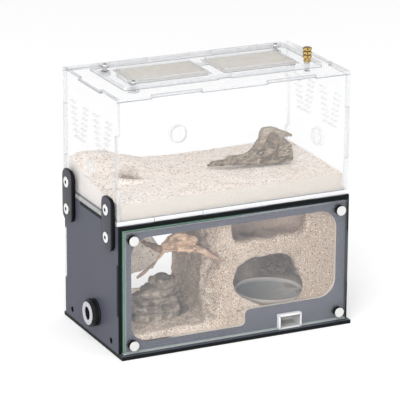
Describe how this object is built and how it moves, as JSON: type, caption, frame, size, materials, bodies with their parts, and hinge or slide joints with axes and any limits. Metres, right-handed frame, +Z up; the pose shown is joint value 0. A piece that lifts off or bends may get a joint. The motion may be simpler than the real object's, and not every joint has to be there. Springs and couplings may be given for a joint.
{
  "type": "ant habitat",
  "caption": "Ant habitat: a dark nest box with a screwed-on glass front over a cast burrow, and a clear foraging tank with sand, driftwood and a meshed lid on top.",
  "frame": {"origin": "middle of the base plate's underside", "axes": "+X to the right along the glass front, +Y from the glass front to the back wall, +Z up"},
  "size_m": [0.209, 0.1156, 0.2229],
  "materials": {
    "smoked_acrylic": "gloss",
    "clear_acrylic": "gloss",
    "green_glass": "polished",
    "black_plastic": "satin",
    "white_plastic": "satin",
    "pale_plastic": "gloss",
    "grey_plastic": "satin",
    "plug_plastic": "gloss",
    "steel": "bright",
    "dark_steel": "satin",
    "mesh_steel": "woven",
    "brass": "satin",
    "plaster": "rough",
    "dish_plaster": "smooth",
    "rock": "rough",
    "sand": "granular",
    "wood": "weathered",
    "root_wood": "rough"
  },
  "bodies": {
    "case": {"base_plate": "smoked_acrylic", "nest_left_wall": "smoked_acrylic", "nest_right_wall": "smoked_acrylic", "nest_top_panel": "smoked_acrylic", "nest_front_panel": "smoked_acrylic", "nest_back_wall": "clear_acrylic", "knob_inserts": "steel", "cast_left_bank": "plaster", "cast_cavern_floor": "plaster", "cast_cavern_roof": "plaster", "cast_lobe": "plaster", "cast_base": "plaster", "cast_chamber": "plaster", "cast_gallery": "plaster", "cast_rear_bank": "plaster", "chamber_dish": "dish_plaster", "rock_stack": "rock", "root_branch": "root_wood", "water_port": "white_plastic", "tube_port_body": "grey_plastic", "tube_port_ring": "pale_plastic", "tube_port_nut": "grey_plastic", "tank_left_wall": "clear_acrylic", "tank_right_wall": "clear_acrylic", "tank_front_wall": "clear_acrylic", "tank_back_wall": "clear_acrylic", "tank_top_panel": "clear_acrylic", "tank_floor": "clear_acrylic", "sand_bed": "sand", "driftwood": "wood", "bracket_front_left": "black_plastic", "bracket_back_left": "black_plastic", "bracket_screws": "dark_steel", "bracket_nuts": "dark_steel", "thumb_stud": "steel", "stud_nut": "steel", "passage_tube": "clear_acrylic"},
    "lid": {"lid_lower_frame": "clear_acrylic", "lid_upper_frame": "clear_acrylic", "lid_mesh_left": "mesh_steel", "lid_mesh_right": "mesh_steel", "lid_bolts": "dark_steel", "lid_nuts": "dark_steel"},
    "thumb_nut": {"thumb_nut": "brass"},
    "glass": {"front_glass": "green_glass"},
    "knob_top_left": {"knob_barrel_top_left": "black_plastic", "knob_screw_top_left": "steel"},
    "knob_top_right": {"knob_barrel_top_right": "black_plastic", "knob_screw_top_right": "steel"},
    "knob_bottom_left": {"knob_barrel_bottom_left": "black_plastic", "knob_screw_bottom_left": "steel"},
    "knob_bottom_right": {"knob_barrel_bottom_right": "black_plastic", "knob_screw_bottom_right": "steel"},
    "plug_left": {"port_plug_left": "plug_plastic"},
    "plug_right": {"port_plug_right": "plug_plastic"},
    "plug_back": {"port_plug_back": "plug_plastic"}
  },
  "joints": [
    {"name": "lid_lift", "type": "slide", "parent": "case", "child": "lid", "axis": [0, 0, 1], "range_m": [0, 0.06]},
    {"name": "thumb_nut_turn", "type": "hinge", "parent": "lid", "child": "thumb_nut", "pos_m": [0.0746, -0.02355, 0.2173], "axis": [0, 0, 1], "continuous": true},
    {"name": "glass_slide", "type": "slide", "parent": "case", "child": "glass", "axis": [0, -1, 0], "range_m": [0, 0.04]},
    {"name": "knob_top_left_turn", "type": "hinge", "parent": "glass", "child": "knob_top_left", "pos_m": [-0.0896, -0.0555, 0.0961], "axis": [0, 1, 0], "continuous": true},
    {"name": "knob_top_right_turn", "type": "hinge", "parent": "glass", "child": "knob_top_right", "pos_m": [0.0896, -0.0555, 0.0961], "axis": [0, 1, 0], "continuous": true},
    {"name": "knob_bottom_left_turn", "type": "hinge", "parent": "glass", "child": "knob_bottom_left", "pos_m": [-0.0896, -0.0555, 0.0107], "axis": [0, 1, 0], "continuous": true},
    {"name": "knob_bottom_right_turn", "type": "hinge", "parent": "glass", "child": "knob_bottom_right", "pos_m": [0.0896, -0.0555, 0.0107], "axis": [0, 1, 0], "continuous": true},
    {"name": "plug_left_pull", "type": "slide", "parent": "case", "child": "plug_left", "axis": [-1, 0, 0], "range_m": [0, 0.012]},
    {"name": "plug_right_pull", "type": "slide", "parent": "case", "child": "plug_right", "axis": [1, 0, 0], "range_m": [0, 0.012]},
    {"name": "plug_back_pull", "type": "slide", "parent": "case", "child": "plug_back", "axis": [0, 1, 0], "range_m": [0, 0.012]}
  ]
}
